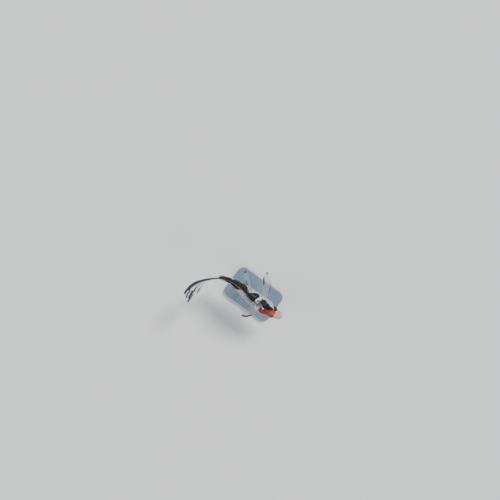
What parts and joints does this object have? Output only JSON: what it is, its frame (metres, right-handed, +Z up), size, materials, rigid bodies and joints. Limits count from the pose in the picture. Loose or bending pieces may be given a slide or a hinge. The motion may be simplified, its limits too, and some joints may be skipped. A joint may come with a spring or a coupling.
{
  "type": "koi carp display model",
  "caption": "Life-size young long-finned koi carp, swimming with its tail curled to the right, held level on a plain stand by two rods.",
  "frame": {"origin": "middle of the stand base's underside, on the floor, under the widest part of the fish's trunk", "axes": "+X is forwards, the way the fish's trunk points, +Y is the fish's left and +Z is up"},
  "size_m": [0.1599, 0.1214, 0.1092],
  "materials": {
    "skin": "wet, pearly white scales with black markings and a red patch on the head",
    "mouth": "wet, pinkish white lips and barbels",
    "fin": "thin, pale, half clear membrane on fine rays, with black streaks and tips",
    "eye": "glossy, black pupil in a narrow silvery gold ring",
    "stand_base": "plain slate blue, satin",
    "stand_rod": "plain brushed steel"
  },
  "bodies": {
    "root": {"anal_fin": "fin", "barbel_front_left": "mouth", "barbel_front_right": "mouth", "barbel_rear_left": "mouth", "barbel_rear_right": "mouth", "dorsal_fin": "fin", "eye_left": "eye", "eye_right": "eye", "gill_cover_left": "skin", "gill_cover_right": "skin", "head": "skin", "lower_lip": "mouth", "pectoral_fin_left": "fin", "pectoral_fin_right": "fin", "pelvic_fin_left": "fin", "pelvic_fin_right": "fin", "stand_base": "stand_base", "stand_rod_front": "stand_rod", "stand_rod_rear": "stand_rod", "tail_fin_lower": "fin", "tail_fin_upper": "fin", "tail_stalk": "skin", "trunk": "skin", "upper_lip": "mouth"}
  },
  "joints": []
}
